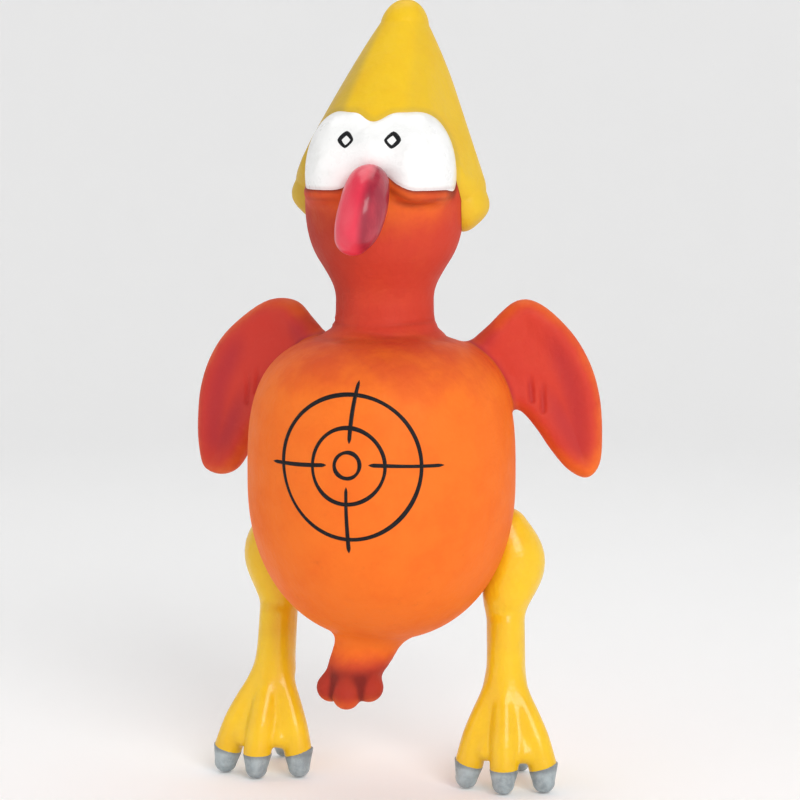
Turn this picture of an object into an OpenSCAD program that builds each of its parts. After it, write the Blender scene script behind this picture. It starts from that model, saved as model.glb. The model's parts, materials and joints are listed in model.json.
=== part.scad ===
// Cartoon rubber chicken: a hollow latex toy that stands on its claws, with a squeaker in its back.
// Millimetres. +Z is up, the face looks along -Y, and the toy's own left side is +X.
// The latex skin is split where it flexes, so that neck, wings, tail and legs can each bend.

/* [Body] */
// Greatest radius of the belly
body_r = 39.3; // [38.5:0.1:40]
// Height of the belly's widest ring above the floor
body_z = 91.5; // [91:0.1:92]
// Depth of the belly below its widest ring
body_low = 48; // [47:0.5:49]
// Height of the shoulders above the widest ring
body_up = 43; // [42.5:0.5:43.5]
// Thickness of the latex skin
wall = 2; // [1.5:0.1:2.5]

/* [Head] */
// Radius of the neck at its waist
neck_r = 14.4; // [14:0.1:14.8]
// Greatest radius of the head
head_r = 23.2; // [22.8:0.1:23.6]
// Height of the head's widest ring above the floor
head_z = 174; // [173.5:0.1:174.5]
// Radius of each eyeball
eye_r = 12; // [11.8:0.1:12.2]
// Height of the comb's tip above the floor
comb_top = 231.5; // [230:0.5:233]

/* [Limbs] */
// Thickness of a wing
wing_t = 10; // [9:0.5:11]
// Radius of a shank
shank_r = 5.6; // [5.4:0.1:5.8]
// Radius of a toe where its claw begins
toe_r = 4.4; // [4.2:0.1:4.6]
// Height of the claws' painted edge above the floor
claw_h = 8.4; // [8:0.1:9]

/* [Fits] */
// Gap between two sections that bend against each other
gap = 0.4; // [0.3:0.05:0.5]
// Gap between glued or seated pieces
seat = 0.05; // [0.02:0.01:0.1]
// Thickness of a painted line
paint = 0.35; // [0.3:0.05:0.4]

/* [Hidden] */
$fn = 48;

neck_y = 4;                          // the neck and the head share this axis
neck_pivot = [0, neck_y, 139];       // centre of the neck's bend
neck_ball_r = 13.5;
turn_z = 148;                        // plane where the head twists on the neck
shoulder = [34, 8, 120];             // centre of a wing's root
shoulder_r = 8;
hip = [34, 14, 76];                  // centre of a leg's root
hip_r = 8.5;
knee = [34.8, 12, 57.5];
knee_r = 6;
ankle = [35.5, 10, 31];
ankle_r = 5.8;
tail_pivot = [-3, -2, 46];           // centre of the tail's root
tail_ball_r = 8.5;
tail_end = [-8, -6, 31];             // middle of the three rump nubs
beak_pivot = [0, -18.5, 179.5];
beak_ball_r = 5.5;
beak_bend = [0, -27.5, 176];         // where the beak turns down
eye_at = [10.5, -5.5, 187.5];        // centre of the toy's left eyeball
squeak_z = 94;                       // height of the squeaker's axis
squeak_face = 39.8;                  // how far back the squeaker's flat face lies
squeak_r = 10;
collar_r = 13.5;
squeak_len = 14;
squeak_wall = 1.4;
sound_hole_r = 2;
reed_y = squeak_face - 9;            // inner face of the reed holder
holder_t = 4;
reed_w = 4;
reed_t = 0.2;
target_z = 101;                      // height of the target's centre

// ---- helpers ----

// Half outline of an egg, from its lowest point to its highest: n_lo and n_up square off each half.
function egg_outline(a, lo, up, n_lo, n_up, steps = 18) = [
    for (i = [0:steps])
        let (t = -90 + 180 * i / steps,
             n = t < 0 ? n_lo : n_up,
             b = t < 0 ? -lo : up)
        [a * pow(abs(cos(t)), 2 / n), b * pow(abs(sin(t)), 2 / n)]
];

module egg(a, lo, up, n_lo, n_up)
    rotate_extrude($fn = 64) polygon(egg_outline(a, lo, up, n_lo, n_up));

// Turns +Z towards the point d.
module aim(d)
    rotate([0, acos(d.z / norm(d)), atan2(d.y, d.x)]) children();

// A round bar from point a to point b.
module bar(a, b, r)
    translate(a) aim(b - a) cylinder(r = r, h = norm(b - a));

module ball(at, r)
    translate(at) sphere(r);

// A softer section: two balls and everything between them.
module soft_limb(a, b, r1, r2)
    hull() {
        ball(a, r1, $fn = 24);
        ball(b, r2, $fn = 24);
    }

// The half spaces above and below a height.
module above(z)
    translate([-100, -100, z]) cube([200, 200, 300]);

module below(z)
    translate([-100, -100, z - 300]) cube([200, 200, 300]);

// Draws the toy's left part as it is, and its right part mirrored.
module on_side(left)
    mirror([left ? 0 : 1, 0, 0]) children();

module both_sides() {
    on_side(true) children();
    on_side(false) children();
}

// ---- body ----

module body_egg(grow = 0)
    translate([0, 0, body_z]) egg(body_r + grow, body_low + grow, body_up + grow, 1.8, 3.2);

module squeaker_bar(r, from, to)
    translate([0, to, squeak_z]) rotate([90, 0, 0]) cylinder(r = r, h = to - from);

module torso_skin() color([0.95, 0.46, 0.13]) difference() {
    union() {
        difference() {
            body_egg();
            body_egg(-wall);
        }
        difference() {
            squeaker_bar(collar_r, squeak_face - squeak_len, squeak_face);
            squeaker_bar(collar_r + 1, -squeak_face, squeak_face - squeak_len + 0.01);
        }
    }
    squeaker_bar(squeak_r, 0, squeak_face + 1);
    ball(neck_pivot, neck_ball_r + gap);
    ball(tail_pivot, tail_ball_r + gap);
    both_sides() {
        ball(shoulder, shoulder_r + gap);
        ball(hip, hip_r + gap);
    }
}

module torso_filling() color([0.93, 0.93, 0.9]) difference() {
    translate([0, -1, body_z - 2]) egg(33, 38, 34, 1.9, 2.6);
    squeaker_bar(collar_r + 1.5, squeak_face - squeak_len - 1.5, squeak_face);
    ball(neck_pivot, neck_ball_r + 1.5);
    ball(tail_pivot, tail_ball_r + 1.5);
    both_sides() {
        ball(shoulder, shoulder_r + 1.5);
        ball(hip, hip_r + 1.5);
    }
}

// Flat drawing of the target: three rings and four broken cross lines.
module target_lines() {
    line = 0.9;
    for (r = [3.4, 10.5, 20.3])
        difference() {
            circle(r + line / 2);
            circle(r - line / 2);
        }
    for (turn = [0:90:270])
        rotate(turn) translate([5.6, -line / 2]) square([18, line]);
}

module target_print() color([0.1, 0.1, 0.1]) difference() {
    intersection() {
        translate([0, 0, target_z]) rotate([90, 0, 0]) linear_extrude(60) target_lines();
        body_egg(paint);
    }
    body_egg(0);
}

// ---- squeaker ----

module squeaker_housing() color([0.9, 0.9, 0.88]) difference() {
    squeaker_bar(squeak_r - seat, squeak_face - squeak_len, squeak_face);
    squeaker_bar(squeak_r - squeak_wall, 0, squeak_face - squeak_wall);
    squeaker_bar(sound_hole_r, 0, squeak_face + 1);
}

// A slot over the whole thickness of the reed holder.
module holder_slot(w, z, h)
    translate([-w / 2, reed_y - 1, squeak_z + z]) cube([w, holder_t + 2, h]);

module squeaker_reed_holder() color([0.75, 0.15, 0.15]) difference() {
    squeaker_bar(squeak_r - squeak_wall - seat, reed_y, reed_y + holder_t);
    holder_slot(reed_w + 2 * seat, -seat, reed_t + 2 * seat);
    holder_slot(reed_w / 2, 0, 3);
}

module squeaker_reed() color([0.8, 0.75, 0.4])
    translate([-reed_w / 2, reed_y - 2, squeak_z]) cube([reed_w, holder_t + 2, reed_t]);

// ---- neck and head ----

module head_egg(grow = 0)
    translate([0, neck_y, head_z]) egg(head_r + grow, 27 + grow, 28 + grow, 2.5, 2.4);

module neck_skin() color([0.82, 0.28, 0.16]) difference() {
    union() {
        ball(neck_pivot, neck_ball_r);
        translate([0, neck_y, neck_pivot.z + 4]) cylinder(r = neck_r, h = turn_z - neck_pivot.z - 4);
    }
    ball(neck_pivot, neck_ball_r - wall);
    translate([0, neck_y, neck_pivot.z]) cylinder(r = neck_ball_r - 2 * wall, h = 20);
    above(turn_z);
}

module head_skin() color([0.85, 0.33, 0.16]) difference() {
    union() {
        head_egg();
        translate([0, neck_y, turn_z + gap]) cylinder(r = neck_r, h = 9);
    }
    head_egg(-wall);
    below(turn_z + gap);
    ball(beak_pivot, beak_ball_r + gap);
}

module head_filling() color([0.93, 0.93, 0.9]) difference() {
    translate([0, neck_y, head_z]) egg(head_r - wall - 1, 23, 24, 2.5, 2.4);
    ball(beak_pivot, beak_ball_r + 1.5);
}

module eyeballs(grow = 0)
    both_sides() ball(eye_at, eye_r + grow);

// What the face leaves open: everything in front of the ears and below the brow.
module face_cut()
    translate([-50, 0, 0]) rotate([90, 0, 90])
        linear_extrude(100) polygon([[-60, 140], [3, 140], [3, 186], [-3, 194], [-11, 199], [-60, 199]]);

module hood_form(shrink = 0)
    hull() {
        ball([1.5, 19, comb_top - 7], 7 - shrink, $fn = 24);
        ball([0, 20, 181], 11 - shrink, $fn = 24);
        both_sides() {
            ball([22, 11, 172], 7.5 - shrink, $fn = 24);
            ball([12, -8, 200], 6 - shrink, $fn = 24);
        }
    }

module comb_hood() color([0.97, 0.8, 0.2]) difference() {
    hood_form();
    hood_form(wall);
    head_egg(seat);
    face_cut();
    eyeballs(seat);
}

module eye_patch() color([0.97, 0.97, 0.95]) difference() {
    eyeballs();
    head_egg(seat);
    ball(beak_pivot, beak_ball_r + gap);
}

module pupils() color([0.1, 0.1, 0.1]) difference() {
    intersection() {
        both_sides() translate([6.8, 0, 192]) rotate([90, 0, 0]) linear_extrude(30) rotate(45)
            difference() {
                square(3.2, center = true);
                square(1.7, center = true);
            }
        eyeballs(paint);
    }
    eyeballs();
}

module beak() color([0.85, 0.2, 0.27]) {
    ball(beak_pivot, beak_ball_r);
    soft_limb(beak_pivot, beak_bend, beak_ball_r - 1.3, 6.2);
    soft_limb(beak_bend, [0, -31, 164], 6.2, 5);
}

// ---- wings and tail ----

// A wing bends only outside its root's ball, so the paddle is hulled clear of the body.
module wing() color([0.78, 0.26, 0.2]) {
    soft_limb(shoulder, [42.5, 13, 121], shoulder_r - gap, wing_t / 2);
    hull() {
        ball([41, 12, 139], wing_t / 2, $fn = 20);
        ball([49.5, 15, 131.5], wing_t / 2, $fn = 20);
        ball([53.4, 18, 119], wing_t / 2, $fn = 20);
        ball([55.7, 21, 103.5], wing_t / 2, $fn = 20);
        ball([55.5, 22, 98.3], wing_t / 2, $fn = 20);
        ball([42.5, 13, 119], wing_t / 2, $fn = 20);
    }
}

module tail_skin() color([0.87, 0.32, 0.15]) {
    ball(tail_pivot, tail_ball_r);
    soft_limb(tail_pivot, tail_end + [2.5, 2, 6], 6, 5.4);
    for (side = [-1, 0, 1])
        soft_limb(tail_end + [2.5, 2, 6], tail_end + [6 * side, 0, abs(side) * 1.5 - 1.2], 4.6, 3.4);
}

// ---- legs ----

// The drumstick lies outside the belly by enough to swing on the hip.
module thigh() color([0.98, 0.8, 0.15]) difference() {
    union() {
        ball(hip, hip_r);
        hull() {
            ball([40.5, 14, 74], 4, $fn = 20);
            ball([40.5, 17.5, 68], 4, $fn = 20);
            ball([40.5, 10.5, 68], 4, $fn = 20);
            ball(knee + [1.6, 0, 3.5], 5.8, $fn = 24);
        }
    }
    ball(knee, knee_r + gap);
    below(knee.z + 2.8);
}

module shank() color([0.98, 0.8, 0.15]) difference() {
    union() {
        ball(knee, knee_r);
        bar(knee, ankle, shank_r);
    }
    ball(ankle, ankle_r + gap);
    below(ankle.z + 2.4);
}

// Where each toe ends: sideways, forwards and up from the floor, with the rear spur last.
toes = [[-11, 1.5, 2.7], [0, -5, 2.7], [11, 1.5, 2.7], [0, 23, 2.4]];

function toe_tip(toe) = [ankle.x + 1 + toe.x, toe.y, toe.z];

module toe(toe)
    soft_limb(ankle + [toe.x / 4, 0, -3.5], toe_tip(toe), toe.y > ankle.y ? 4 : 5, toe.y > ankle.y ? 3 : toe_r - 1);

module all_toes()
    for (t = toes) toe(t);

module foot() color([0.98, 0.8, 0.15]) intersection() {
    union() {
        ball(ankle, ankle_r);
        all_toes();
    }
    above(claw_h);
}

module claws() color([0.66, 0.7, 0.72]) intersection() {
    all_toes();
    below(claw_h);
    above(0);
}

torso_skin();
torso_filling();
target_print();
squeaker_housing();
squeaker_reed_holder();
squeaker_reed();
neck_skin();
head_skin();
head_filling();
comb_hood();
eye_patch();
pupils();
beak();
on_side(true) wing();  // left_wing
on_side(false) wing();  // right_wing
tail_skin();
on_side(true) thigh();  // left_thigh
on_side(false) thigh();  // right_thigh
on_side(true) shank();  // left_shank
on_side(false) shank();  // right_shank
on_side(true) foot();  // left_foot
on_side(false) foot();  // right_foot
on_side(true) claws();  // left_claws
on_side(false) claws();  // right_claws
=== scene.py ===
"""Looks of a cartoon rubber chicken: a smooth latex skin, cut where it bends, around the CAD frame.

The skin is described by signed distance fields in millimetres, in the frame's own axes: +Z is up, the
face looks along -Y and the toy's left side is +X. Each field is turned into a mesh, cut into the pieces
that ride on the CAD bodies or lie between them where the skin bends, and given normals from the field,
so that no seam shows.
"""
import json
import math

import bpy
import numpy as np
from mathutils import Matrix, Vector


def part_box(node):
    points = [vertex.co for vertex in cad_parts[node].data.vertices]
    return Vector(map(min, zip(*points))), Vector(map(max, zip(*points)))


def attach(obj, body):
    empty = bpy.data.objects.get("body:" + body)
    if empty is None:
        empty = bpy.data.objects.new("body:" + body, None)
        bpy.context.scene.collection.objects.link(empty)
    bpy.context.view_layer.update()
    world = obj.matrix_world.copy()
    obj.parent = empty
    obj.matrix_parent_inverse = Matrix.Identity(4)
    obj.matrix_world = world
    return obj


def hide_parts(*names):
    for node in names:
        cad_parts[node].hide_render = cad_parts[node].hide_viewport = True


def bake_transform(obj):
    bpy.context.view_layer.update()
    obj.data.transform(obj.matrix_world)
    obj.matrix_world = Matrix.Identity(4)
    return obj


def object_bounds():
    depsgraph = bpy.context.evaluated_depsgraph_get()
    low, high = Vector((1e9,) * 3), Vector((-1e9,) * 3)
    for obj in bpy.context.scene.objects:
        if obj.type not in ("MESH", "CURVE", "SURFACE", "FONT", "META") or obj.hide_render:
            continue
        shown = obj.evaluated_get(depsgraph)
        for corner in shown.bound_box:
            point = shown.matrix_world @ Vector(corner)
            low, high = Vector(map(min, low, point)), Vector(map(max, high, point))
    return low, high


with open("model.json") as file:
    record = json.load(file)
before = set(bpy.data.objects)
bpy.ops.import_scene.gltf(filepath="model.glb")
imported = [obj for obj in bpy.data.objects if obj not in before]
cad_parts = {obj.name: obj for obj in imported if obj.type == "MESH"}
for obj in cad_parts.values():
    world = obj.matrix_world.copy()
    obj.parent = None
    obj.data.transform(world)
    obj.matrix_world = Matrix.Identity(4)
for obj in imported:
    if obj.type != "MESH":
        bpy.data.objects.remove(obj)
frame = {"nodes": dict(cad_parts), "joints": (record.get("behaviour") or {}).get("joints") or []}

import openvdb
from mathutils import Vector

cad_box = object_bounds()
MM = 0.001


def vec(*values):
    return np.array(values, float)


# ---- places taken from the frame, in millimetres ----

def joint_at(name):
    joint = next(j for j in frame["joints"] if j["name"] == name)
    return np.array(joint["pos_m"]) / MM


def node_box(name):
    low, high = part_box(name)
    return np.array(low) / MM, np.array(high) / MM


def middle_z(name):
    low, high = node_box(name)
    return (low[2] + high[2]) / 2


NECK = joint_at("neck_nod")
TURN = joint_at("head_turn")
SHOULDER = joint_at("left_wing_fold")
TAIL = joint_at("tail_wag")
HIP = joint_at("left_hip_swing")
KNEE = joint_at("left_knee_bend")
ANKLE = joint_at("left_ankle_bend")

TORSO_LOW, TORSO_HIGH = node_box("torso_skin")
BELLY_R = TORSO_HIGH[0]  # greatest radius of the belly
BELLY = vec(0, 0, 91.5)  # centre of its widest ring
BELLY_LOW = BELLY[2] - TORSO_LOW[2]
BELLY_UP = 43.0
AXIS_Y = NECK[1]  # the neck and the head share this axis
HEAD_R = node_box("head_skin")[1][0]
HEAD = vec(0, AXIS_Y, 174)  # centre of the head's widest ring
COMB_TOP = node_box("comb_hood")[1][2]
SQUEAKER_LOW, SQUEAKER_HIGH = node_box("squeaker_housing")
SQUEAKER_R = (SQUEAKER_HIGH[0] - SQUEAKER_LOW[0]) / 2
SQUEAKER_Z = middle_z("squeaker_housing")
TARGET_Z = middle_z("target_print")
TARGET_REACH = node_box("target_print")[1][0]
CLAW_TOP = node_box("left_claws")[1][2]
FACE_SHIFT = vec(1, 0, 0)  # the painted face sits a little to one side
EYE = vec(10.6, -4.5, 180.8)  # centre of the left eyeball, before the shift
EYE_RADII = vec(11.2, 16, 18.4)
EYE_BRIDGE = vec(0, -8.5, 186.6)  # the white between the eyeballs, over the beak
EYE_BRIDGE_RADII = vec(10, 12.4, 10)
EYE_BROW = vec(5.6, -7, 188.4)  # the white that fills the comb's opening beside its notch
EYE_BROW_RADII = vec(7, 9.5, 10.6)
LID_Z = 177.7  # height of the eyes' lower edge
LID_RISE = 5  # how much higher it is over the beak


# ---- distance fields ----

def ease(a, b, t):
    t = np.clip((t - a) / (b - a), 0, 1)
    return t * t * (3 - 2 * t)


def bump(t, width):
    """1 at t = 0, falling smoothly to 0 at a distance of width."""
    t = np.clip(np.abs(t) / width, 0, 1)
    return (1 - t * t) ** 2


def join(a, b, k):
    """Smooth union: the two shapes melt together over about k millimetres."""
    h = np.maximum(k - np.abs(a - b), 0)
    return np.minimum(a, b) - h * h / (4 * k)


def meet(a, b, k):
    """Smooth intersection."""
    return -join(-a, -b, k)


def ellipsoid(p, centre, radii):
    q = (p - centre) / radii
    k0 = np.linalg.norm(q, axis=1)
    k1 = np.linalg.norm(q / radii, axis=1)
    return k0 * (k0 - 1) / np.maximum(k1, 1e-9)


def limb(p, a, b, r1, r2):
    """A bar from a to b with round ends, whose radius goes from r1 to r2."""
    ab = b - a
    t = np.clip((p - a) @ ab / (ab @ ab), 0, 1)
    return np.linalg.norm(p - a - t[:, None] * ab, axis=1) - (r1 + (r2 - r1) * t)


def egg(p, centre, a, low, up, n_low, n_up):
    """A turned egg; n_low and n_up square off its lower and upper half."""
    d = p - centre
    rho = np.hypot(d[:, 0], d[:, 1]) / a
    above = d[:, 2] > 0
    n = np.where(above, n_up, n_low)
    b = np.where(above, up, low)
    z = np.abs(d[:, 2]) / b
    s = np.maximum(rho ** n + z ** n, 1e-9)
    slope = s ** (1 / n - 1) * np.hypot(rho ** (n - 1) / a, z ** (n - 1) / b)
    return (s ** (1 / n) - 1) / np.maximum(slope, 1e-4)


def spline(points, steps, closed=False):
    """A smooth Catmull-Rom curve through the points."""
    points = np.array(points, float)
    count = len(points)
    rows = []
    for i in range(count if closed else count - 1):
        nearby = i + np.arange(-1, 3)
        p0, p1, p2, p3 = points[nearby % count if closed else np.clip(nearby, 0, count - 1)]
        for t in np.arange(steps) / steps:
            rows.append(0.5 * (2 * p1 + (p2 - p0) * t + (2 * p0 - 5 * p1 + 4 * p2 - p3) * t ** 2
                               + (3 * p1 - p0 - 3 * p2 + p3) * t ** 3))
    if not closed:
        rows.append(points[-1])
    return np.array(rows)


def outline_distance(q, loop):
    """Signed distance of 2-D points to a closed outline, negative inside."""
    best = np.full(len(q), 1e9)
    inside = np.zeros(len(q), bool)
    for a, b in zip(loop, np.roll(loop, -1, axis=0)):
        ab, aq = b - a, q - a
        t = np.clip(aq @ ab / (ab @ ab), 0, 1)
        best = np.minimum(best, ((aq - t[:, None] * ab) ** 2).sum(1))
        crosses = (a[1] > q[:, 1]) != (b[1] > q[:, 1])
        rise = b[1] - a[1] if b[1] != a[1] else 1e-9
        inside ^= crosses & (q[:, 0] < a[0] + (b[0] - a[0]) * (q[:, 1] - a[1]) / rise)
    return np.where(inside, -1, 1) * np.sqrt(best)


def tube(p, stations, steps=4):
    """A bar that bends smoothly through a row of stations (x, y, z, radius)."""
    rows = spline(stations, steps)
    return np.minimum.reduce([limb(p, a[:3], b[:3], a[3], b[3]) for a, b in zip(rows, rows[1:])])


FAR = 9.0  # stands for the distance to a shape that isn't near


def near(p, low, high, field):
    """field(p) within a box, and the value FAR elsewhere."""
    inside = np.all((p > low) & (p < high), axis=1)
    out = np.full(len(p), FAR)
    if inside.any():
        out[inside] = field(p[inside])
    return out


def folded(p):
    """The points, folded onto the toy's left side."""
    return np.column_stack([np.abs(p[:, 0]), p[:, 1:]])


# ---- belly, neck and head ----

BELLY_SQUARENESS = (2.2, 3.2)  # of the lower and the upper half; 2 is round
HEAD_SQUARENESS = (2.5, 2.4)
HEAD_LOW, HEAD_UP = 27, 28  # how far the head reaches below and above its widest ring
BAG_R = 2.4  # radius of the roll under the eyes
CREASE_TURN, CREASE_Z = 32, 172.9  # lowest point of the fold under the left eye
WRINKLES = ((137.6, 0.5, 1.0), (135.3, 0.8, 1.1), (133.4, 0.4, 1.2))  # height, swing and width of each
NECK_R = (14.8, 14.2)  # at the shoulders and at the head


def torso(p):
    return egg(p, BELLY, BELLY_R, BELLY_LOW, BELLY_UP, *BELLY_SQUARENESS)


def head_form(p):
    return egg(p, HEAD, HEAD_R, HEAD_LOW, HEAD_UP, *HEAD_SQUARENESS)


def eyes(p):
    """Both eyeballs, which meet in a white bridge over the beak."""
    q = folded(p - FACE_SHIFT)
    both = join(ellipsoid(q, EYE, EYE_RADII), ellipsoid(q, EYE_BRIDGE, EYE_BRIDGE_RADII), 4)
    return join(both, ellipsoid(q, EYE_BROW, EYE_BROW_RADII), 2.5)


def lid_height(p):
    """Height of the line where the white of the eyes ends; over the beak it rises, steeply on the right."""
    x = p[:, 0] - FACE_SHIFT[0]
    return LID_Z + LID_RISE * bump(x, np.where(x > 0, 14, 7.5))


def face_turn(q):
    """Degrees that a point lies round the head's axis from the front, towards the left side."""
    return np.degrees(np.arctan2(q[:, 0], AXIS_Y - q[:, 1]))


def eye_bag(p):
    """The swollen lower lid: a soft roll that follows the eyeballs just under the white."""
    thinner = 2 * ease(52, 84, face_turn(folded(p - FACE_SHIFT)))
    return np.hypot(eyes(p) + 1.8, p[:, 2] - lid_height(p) + BAG_R) - BAG_R + thinner


def cheek_crease(p):
    """How deep in the fold below the left eye a point lies, from 0 to 1."""
    turn = face_turn(p - FACE_SHIFT) - CREASE_TURN
    fold_z = CREASE_Z + 1.8 * (turn / 22) ** 2
    return bump(p[:, 2] - fold_z, 1.2) * bump(turn, 24)


def neck_wrinkles(p):
    """Shallow rings where the neck sinks into the shoulders."""
    q = p - vec(0, AXIS_Y, 0)
    turn = np.arctan2(q[:, 0], -q[:, 1])
    r = np.hypot(q[:, 0], q[:, 1])
    depth = np.zeros(len(p))
    for z, swing, wide in WRINKLES:
        strength = 0.6 + 0.4 * np.sin(3 * turn + 2 * z)
        depth += bump(p[:, 2] - z - swing * np.sin(2 * turn + z), wide) * strength
    return depth * (1 - ease(20, 26, r))


# ---- wings ----

WING_LEAN = math.radians(16)  # how far a wing's sheet turns back from the X axis
LEAN_COS, LEAN_SIN = math.cos(WING_LEAN), math.sin(WING_LEAN)
WING_BACK = 6  # how far behind the hinge its root lies
WING_R = 4.6  # half of its thickness, and the radius of its edge
# each wing's outline in X and Z: from its root over the top to its tip, and back along the armpit
LEFT_OUTLINE = [(22, 127.5), (29.5, 136.6), (37, 143.4), (44, 142.4), (52.5, 134.4), (58, 125),
                (60.8, 115), (61.6, 104), (60.9, 95), (57.3, 91), (52, 93.4), (47, 99.4), (43, 105.5),
                (38.5, 110.8), (33, 113), (24, 113)]
RIGHT_OUTLINE = [(19, 129), (25.3, 138.2), (31, 142.6), (40, 141.6), (51.5, 133.4), (58, 125),
                 (61.8, 115), (63, 104), (62.6, 96), (61, 90.2), (57.4, 88.2), (53.4, 88.4),
                 (49.8, 90.6), (46.4, 95.6), (43, 101.5), (38.5, 107.5), (33, 111.5), (24, 113)]
LEFT_LOOP, RIGHT_LOOP = (spline(outline, 5, closed=True) / vec(LEAN_COS, 1)
                         for outline in (LEFT_OUTLINE, RIGHT_OUTLINE))
WING_GROOVES = [((40.5, 123.5), (41.2, 114.5)), ((44.2, 121.5), (44.4, 111.5))]
WING_DISH = 1.3  # how deep the front of a wing is hollowed
WING_BOX = ((12, -14, 80), (70, 44, 154))  # opposite corners of a box round the left wing


def wing_frame(p):
    """For each point: its place in the wing's sheet, its distance in front and that to the outline."""
    x, y = np.abs(p[:, 0]) - SHOULDER[0], p[:, 1] - SHOULDER[1] - WING_BACK
    along = SHOULDER[0] / LEAN_COS + x * LEAN_COS + y * LEAN_SIN
    front = x * LEAN_SIN - y * LEAN_COS
    q = np.column_stack([along, p[:, 2]])
    edge = np.empty(len(p))
    for on_side, loop in ((p[:, 0] > 0, LEFT_LOOP), (p[:, 0] <= 0, RIGHT_LOOP)):
        edge[on_side] = outline_distance(q[on_side], loop)
    return q, front, edge


def wing_grooves(q):
    """How deep in the feather grooves a point of the sheet lies, from 0 to 1."""
    depth = np.zeros(len(q))
    for a, b in np.array(WING_GROOVES) / vec(LEAN_COS, 1):
        t = np.clip((q - a) @ (b - a) / ((b - a) @ (b - a)), 0, 1)
        depth += bump(np.linalg.norm(q - a - t[:, None] * (b - a), axis=1), 1.4) * ease(0, 0.7, t)
    return depth


def wing(p):
    q, front, edge = wing_frame(p)
    dish = (WING_DISH * ease(2.5, 10, -edge) + 0.9 * wing_grooves(q)) * (front > 0)
    flat = np.abs(front) + dish
    over = edge + WING_R
    return np.hypot(np.maximum(over, 0), flat) + np.minimum(np.maximum(over, flat), 0) - WING_R


def wings(p):
    low, high = WING_BOX
    left = near(p, low, high, wing)
    right = near(p, (-high[0], *low[1:]), (-low[0], *high[1:]), wing)
    return np.minimum(left, right)


# ---- tail ----

# three rump nubs on a short neck: x, y, z and radius of each station
TAIL_NECK = [(-1.4, -2, 50, 10), (-3.7, -4, 43, 9), (-6.6, -5.5, 36.5, 7.8)]
TAIL_NUBS = [(-14, -5.5, 29.6, 4.3), (-8.4, -9, 28.1, 4.1), (-2.6, -5.5, 30.2, 4.4)]
NUB_ROOT = vec(-6.8, -5.2, 37.5)  # where the nubs part, and their radius there
NUB_ROOT_R = 5.2


def nub_shapes(p):
    return [limb(p, NUB_ROOT, vec(*nub[:3]), NUB_ROOT_R, nub[3]) for nub in TAIL_NUBS]


def tail(p):
    def form(p):
        d = tube(p, TAIL_NECK)
        for nub in nub_shapes(p):
            d = join(d, nub, 1.8)
        return d
    return near(p, (-30, -26, 14), (16, 16, 66), form)


# ---- squeaker seat ----

COLLAR_R = 13.4
COLLAR_EDGE = 1.2  # radius of its rounded edge


def squeaker_distance(p):
    return np.hypot(p[:, 0], p[:, 2] - SQUEAKER_Z)


def collar(p):
    """The raised ring that holds the squeaker in the back."""
    r = squeaker_distance(p)
    over = np.column_stack([r - COLLAR_R + COLLAR_EDGE, p[:, 1] - SQUEAKER_HIGH[1] + 1.4, 20 - p[:, 1]])
    return np.linalg.norm(np.maximum(over, 0), axis=1) + np.minimum(over.max(1), 0) - COLLAR_EDGE


def squeaker_hole(p):
    return np.maximum(squeaker_distance(p) - SQUEAKER_R - 0.1, SQUEAKER_LOW[1] - p[:, 1])


def body_skin(p):
    neck = limb(p, vec(0, AXIS_Y, 118), vec(0, AXIS_Y, 150), *NECK_R)
    head = join(head_form(p), eye_bag(p), 3.2) + 0.35 * cheek_crease(p)
    d = join(torso(p), join(neck, head, 6), 7) + 0.3 * neck_wrinkles(p)
    d = join(d, wings(p), 3.5)
    d = join(d, tail(p), 4)
    back = near(p, (-20, 20, 70), (20, 60, 118), collar)
    d = join(d, back, 2)
    hole = near(p, (-16, 10, 74), (16, 60, 114), squeaker_hole)
    return meet(d, -hole, 0.8)


# ---- comb, beak ----

# balls (x, y, z, radius) on which the comb's planes rest, the brow and the lobe on the left side
COMB_TIP = (2.6, 18, COMB_TOP - 7.5, 7.5)
COMB_BROW = (7.5, -8, 199.5, 5.5)
COMB_LOBE = (22.2, 11, 171.8, 7.3)
COMB_BACK = (0, 20, 181, 11)
RIGHT_LOBE_RISE = 3  # how much higher the right lobe sits
COMB_HEM = 168  # height of its lower edge between the lobes
COMB_FRONT = -16.5  # Y of the brow's front
SOCKET = vec(10.6, 186)  # middle of the left eye's opening: X from the line between the two, and Z
SOCKET_RADII = vec(11.9, 12)
SOCKET_SHIFT = -0.4  # X of that line


def plane_over(balls):
    """Outward normal and offset of the plane that rests on three balls."""
    balls = np.array(balls, float)
    across = balls[1:, :3] - balls[0, :3]
    drop = balls[0, 3] - balls[1:, 3]
    normal = np.cross(*across)
    normal /= np.linalg.norm(normal)
    base = np.linalg.lstsq(across, drop, rcond=None)[0]
    rest = math.sqrt(max(1 - base @ base, 0))
    inner = vec(0, 8, 188)
    options = [base + rest * normal, base - rest * normal]
    out = max(options, key=lambda n: n @ (balls[:, :3].mean(0) - inner))
    return out, out @ balls[0, :3] + balls[0, 3]


def across_x(ball):
    return (-ball[0], *ball[1:])


def raised(ball):
    return (*ball[:2], ball[2] + RIGHT_LOBE_RISE, ball[3])


COMB_PLANES = [plane_over(balls) for balls in (
    (COMB_TIP, COMB_BROW, across_x(COMB_BROW)),
    (COMB_TIP, COMB_BROW, COMB_LOBE),
    (COMB_TIP, across_x(COMB_BROW), raised(across_x(COMB_LOBE))),
    (COMB_TIP, COMB_LOBE, COMB_BACK),
    (COMB_TIP, raised(across_x(COMB_LOBE)), COMB_BACK),
)]


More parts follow.
